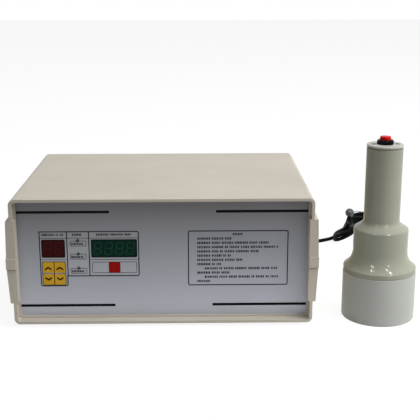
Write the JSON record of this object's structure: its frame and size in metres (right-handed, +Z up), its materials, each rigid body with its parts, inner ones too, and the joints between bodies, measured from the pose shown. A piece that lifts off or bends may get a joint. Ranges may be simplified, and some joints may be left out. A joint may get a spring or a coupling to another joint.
{
  "type": "induction cap sealer",
  "caption": "Bench induction cap sealer: a flat control unit with displays and keys, and a round hand-held sealing head with a push-button on its handle, joined by a lead tied in a hank.",
  "frame": {"origin": "on the floor, under the middle of the footprint of the control unit and the head, without the lead", "axes": "+Z up, the front panel faces -Y, the head stands on the +X side of the unit"},
  "size_m": [0.4851, 0.4462, 0.2015],
  "materials": {
    "case_plastic": "moulded beige plastic with a fine texture",
    "foot_rubber": "matt black rubber",
    "screw_steel": "plated steel",
    "panel_grey": "satin grey panel",
    "panel_print": "screen print, near black",
    "red_lens": "dark red display lens",
    "green_lens": "dark green display lens",
    "light_lens": "red diffused indicator lens",
    "circuit_board": "green solder mask",
    "yellow_key": "satin yellow key",
    "red_key": "satin red key",
    "black_plastic": "moulded black plastic",
    "sink_aluminium": "extruded aluminium",
    "capacitor_blue": "blue shrink sleeve",
    "capacitor_film": "cast resin box",
    "core_iron": "dark ferrite and lacquered laminations",
    "winding_copper": "enamelled copper winding",
    "guard_chrome": "plated wire",
    "cup_grey": "smooth light grey plastic",
    "sealing_plate": "heat resistant off-white plate",
    "head_gloss": "glossy greenish beige",
    "button_red": "glossy red",
    "lead_black": "black flexible sheath",
    "tie_black": "coated wire tie"
  },
  "bodies": {
    "unit": {"lower_shell": "case_plastic", "upper_shell": "case_plastic", "rubber_feet": "foot_rubber", "case_screws": "screw_steel", "front_panel": "panel_grey", "rear_panel": "panel_grey", "panel_print": "panel_print", "red_display": "red_lens", "green_display": "green_lens", "fault_lights": "light_lens", "display_board": "circuit_board", "board_standoffs": "screw_steel", "board_screws": "screw_steel", "key_switches": "black_plastic", "main_board": "circuit_board", "inner_screws": "screw_steel", "heat_sink": "sink_aluminium", "power_transistors": "black_plastic", "bridge_rectifier": "black_plastic", "filter_capacitors": "capacitor_blue", "resonant_capacitor": "capacitor_film", "output_core": "core_iron", "output_winding": "winding_copper", "control_core": "core_iron", "control_winding": "winding_copper", "fan_frame": "black_plastic", "fan_guard": "guard_chrome", "fan_screws": "screw_steel", "power_inlet": "black_plastic", "inlet_pins": "screw_steel", "switch_housing": "black_plastic", "lead_gland": "black_plastic", "gland_nut": "black_plastic", "case_strain_relief": "lead_black", "coil_cup": "cup_grey", "sealing_plate": "sealing_plate", "sealing_coil": "winding_copper", "ferrite_core": "core_iron", "head_body": "head_gloss", "handle_cap": "cup_grey", "cap_screws": "screw_steel", "button_collar": "black_plastic", "button_nut": "screw_steel", "button_spring": "screw_steel", "head_strain_relief": "lead_black", "lead_case_run": "lead_black", "lead_hank": "lead_black", "hank_tie": "tie_black", "lead_head_run": "lead_black"},
    "button": {"trigger_button": "button_red"},
    "up_left": {"up_key_left": "yellow_key"},
    "up_right": {"up_key_right": "yellow_key"},
    "down_left": {"down_key_left": "yellow_key"},
    "down_right": {"down_key_right": "yellow_key"},
    "clear": {"clear_key": "red_key"},
    "rocker": {"power_rocker": "red_key"},
    "rotor": {"fan_rotor": "black_plastic"}
  },
  "joints": [
    {"name": "button_press", "type": "slide", "parent": "unit", "child": "button", "axis": [0, 0, -1], "range_m": [0, 0.0025], "stiffness_N_per_m": 600, "springref_m": -0.002, "deforming": ["button_spring"]},
    {"name": "up_left_press", "type": "slide", "parent": "unit", "child": "up_left", "axis": [0, 1, 0], "range_m": [0, 0.0005], "stiffness_N_per_m": 2000, "springref_m": -0.0005},
    {"name": "up_right_press", "type": "slide", "parent": "unit", "child": "up_right", "axis": [0, 1, 0], "range_m": [0, 0.0005], "stiffness_N_per_m": 2000, "springref_m": -0.0005},
    {"name": "down_left_press", "type": "slide", "parent": "unit", "child": "down_left", "axis": [0, 1, 0], "range_m": [0, 0.0005], "stiffness_N_per_m": 2000, "springref_m": -0.0005},
    {"name": "down_right_press", "type": "slide", "parent": "unit", "child": "down_right", "axis": [0, 1, 0], "range_m": [0, 0.0005], "stiffness_N_per_m": 2000, "springref_m": -0.0005},
    {"name": "clear_press", "type": "slide", "parent": "unit", "child": "clear", "axis": [0, 1, 0], "range_m": [0, 0.0005], "stiffness_N_per_m": 2000, "springref_m": -0.0005},
    {"name": "rocker_tilt", "type": "hinge", "parent": "unit", "child": "rocker", "pos_m": [0.01025, 0.10825, 0.048], "axis": [-1, 0, 0], "range_deg": [0, 24]},
    {"name": "fan_spin", "type": "hinge", "parent": "unit", "child": "rotor", "pos_m": [-0.14075, 0.09525, 0.073], "axis": [0, 1, 0], "continuous": true}
  ]
}
